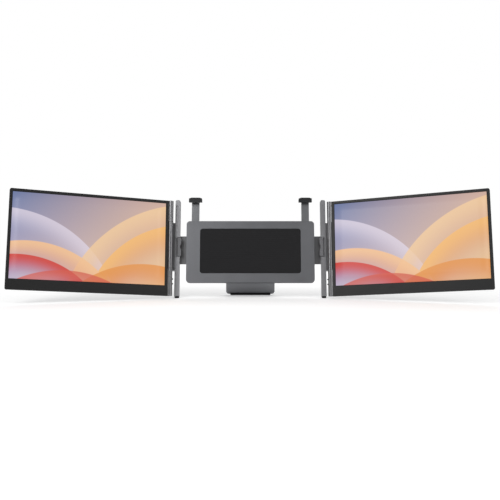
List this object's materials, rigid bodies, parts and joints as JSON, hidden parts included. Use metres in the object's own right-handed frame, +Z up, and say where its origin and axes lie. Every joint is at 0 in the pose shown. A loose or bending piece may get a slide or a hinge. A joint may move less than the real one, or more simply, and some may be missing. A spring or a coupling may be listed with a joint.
{
  "type": "laptop screen extender",
  "caption": "Fold-out screen extender: two side monitors hinged on spring-loaded columns that slide on a leaning centre body with top clips, side grippers and a kickstand.",
  "frame": {"origin": "centre of the rest pad's front face, against which the host panel leans", "axes": "+X along the width to the viewer's right, +Y to the rear, +Z up; the panel leans back 12.5 degrees from +Z"},
  "size_m": [1.0514, 0.2135, 0.251],
  "materials": {
    "body_metal": "satin",
    "body_plastic": "matte",
    "column_metal": "satin",
    "hinge_metal": "satin",
    "black_plastic": "matte",
    "rear_plastic": "matte",
    "black_rubber": "matte",
    "grey_rubber": "matte",
    "steel": "bright",
    "bronze": "satin",
    "display_glass": "satin",
    "backlight_plastic": "matte",
    "board_green": "matte",
    "grip_plastic": "matte"
  },
  "bodies": {
    "centre": {"centre_front_plate": "body_metal", "centre_rear_shell": "body_plastic", "rest_pad": "black_rubber", "arm_rails": "black_plastic", "centre_screws": "steel", "kickstand_pin": "steel", "left_slide_spring": "steel", "right_slide_spring": "steel"},
    "kickstand": {"kickstand_leg": "body_metal", "kickstand_foot": "black_rubber"},
    "left_column_unit": {"left_arm_plate": "hinge_metal", "left_column": "column_metal", "left_column_cover": "column_metal", "left_column_foot": "black_rubber", "left_gripper_pin": "steel", "left_hinge_barrel": "hinge_metal", "left_hinge_bushes": "bronze"},
    "left_monitor": {"left_hinge_strips": "hinge_metal", "left_hinge_pins": "steel", "left_bezel_frame": "black_plastic", "left_display_panel": "display_glass", "left_backlight": "backlight_plastic", "left_rear_cover": "rear_plastic", "left_cover_screws": "steel", "left_driver_board": "board_green", "left_ports": "steel"},
    "left_gripper_unit": {"left_gripper": "grip_plastic", "left_gripper_pad": "grey_rubber"},
    "left_clip_unit": {"left_top_clip": "black_plastic", "left_clip_stem": "steel"},
    "left_power_key": {"left_power_button": "black_plastic"},
    "left_menu_key": {"left_menu_button": "black_plastic"},
    "right_column_unit": {"right_arm_plate": "hinge_metal", "right_column": "column_metal", "right_column_cover": "column_metal", "right_column_foot": "black_rubber", "right_gripper_pin": "steel", "right_hinge_barrel": "hinge_metal", "right_hinge_bushes": "bronze"},
    "right_monitor": {"right_hinge_strips": "hinge_metal", "right_hinge_pins": "steel", "right_bezel_frame": "black_plastic", "right_display_panel": "display_glass", "right_backlight": "backlight_plastic", "right_rear_cover": "rear_plastic", "right_cover_screws": "steel", "right_driver_board": "board_green", "right_ports": "steel"},
    "right_gripper_unit": {"right_gripper": "grip_plastic", "right_gripper_pad": "grey_rubber"},
    "right_clip_unit": {"right_top_clip": "black_plastic", "right_clip_stem": "steel"},
    "right_power_key": {"right_power_button": "black_plastic"},
    "right_menu_key": {"right_menu_button": "black_plastic"}
  },
  "joints": [
    {"name": "kickstand_hinge", "type": "hinge", "parent": "centre", "child": "kickstand", "pos_m": [0, 0.02251, 0.03086], "axis": [1, 0, 0], "range_deg": [-21.5, 35]},
    {"name": "left_arm_slide", "type": "slide", "parent": "centre", "child": "left_column_unit", "axis": [-1, 0, 0], "range_m": [0, 0.036], "stiffness_N_per_m": 120, "springref_m": -0.06, "deforming": ["left_slide_spring"]},
    {"name": "left_monitor_hinge", "type": "hinge", "parent": "left_column_unit", "child": "left_monitor", "pos_m": [-0.185, -0.01883, 0.01257], "axis": [0, 0.2164, 0.9763], "range_deg": [-50, 160]},
    {"name": "left_gripper_pivot", "type": "hinge", "parent": "left_column_unit", "child": "left_gripper_unit", "pos_m": [-0.169, -0.00285, 0.00842], "axis": [0, 0.2164, 0.9763], "range_deg": [-95, 0], "stiffness_Nm_per_rad": 0.01, "springref_deg": 22.92},
    {"name": "left_clip_slide", "type": "slide", "parent": "centre", "child": "left_clip_unit", "axis": [0, 0.2164, 0.9763], "range_m": [-0.045, 0.015]},
    {"name": "left_power_press", "type": "slide", "parent": "left_monitor", "child": "left_power_key", "axis": [-0.9397, -0.3339, 0.074], "range_m": [0, 0.0008], "stiffness_N_per_m": 600, "springref_m": -0.0005},
    {"name": "left_menu_press", "type": "slide", "parent": "left_monitor", "child": "left_menu_key", "axis": [-0.9397, -0.3339, 0.074], "range_m": [0, 0.0008], "stiffness_N_per_m": 600, "springref_m": -0.0005},
    {"name": "right_arm_slide", "type": "slide", "parent": "centre", "child": "right_column_unit", "axis": [1, 0, 0], "range_m": [0, 0.036], "stiffness_N_per_m": 120, "springref_m": -0.06, "deforming": ["right_slide_spring"]},
    {"name": "right_monitor_hinge", "type": "hinge", "parent": "right_column_unit", "child": "right_monitor", "pos_m": [0.185, -0.01043, 0.01071], "axis": [0, -0.2164, -0.9763], "range_deg": [-51, 159]},
    {"name": "right_gripper_pivot", "type": "hinge", "parent": "right_column_unit", "child": "right_gripper_unit", "pos_m": [0.169, -0.00285, 0.00842], "axis": [0, -0.2164, -0.9763], "range_deg": [-95, 0], "stiffness_Nm_per_rad": 0.01, "springref_deg": 22.92},
    {"name": "right_clip_slide", "type": "slide", "parent": "centre", "child": "right_clip_unit", "axis": [0, 0.2164, 0.9763], "range_m": [-0.045, 0.015]},
    {"name": "right_power_press", "type": "slide", "parent": "right_monitor", "child": "right_power_key", "axis": [0.9336, -0.3499, 0.0776], "range_m": [0, 0.0008], "stiffness_N_per_m": 600, "springref_m": -0.0005},
    {"name": "right_menu_press", "type": "slide", "parent": "right_monitor", "child": "right_menu_key", "axis": [0.9336, -0.3499, 0.0776], "range_m": [0, 0.0008], "stiffness_N_per_m": 600, "springref_m": -0.0005}
  ]
}
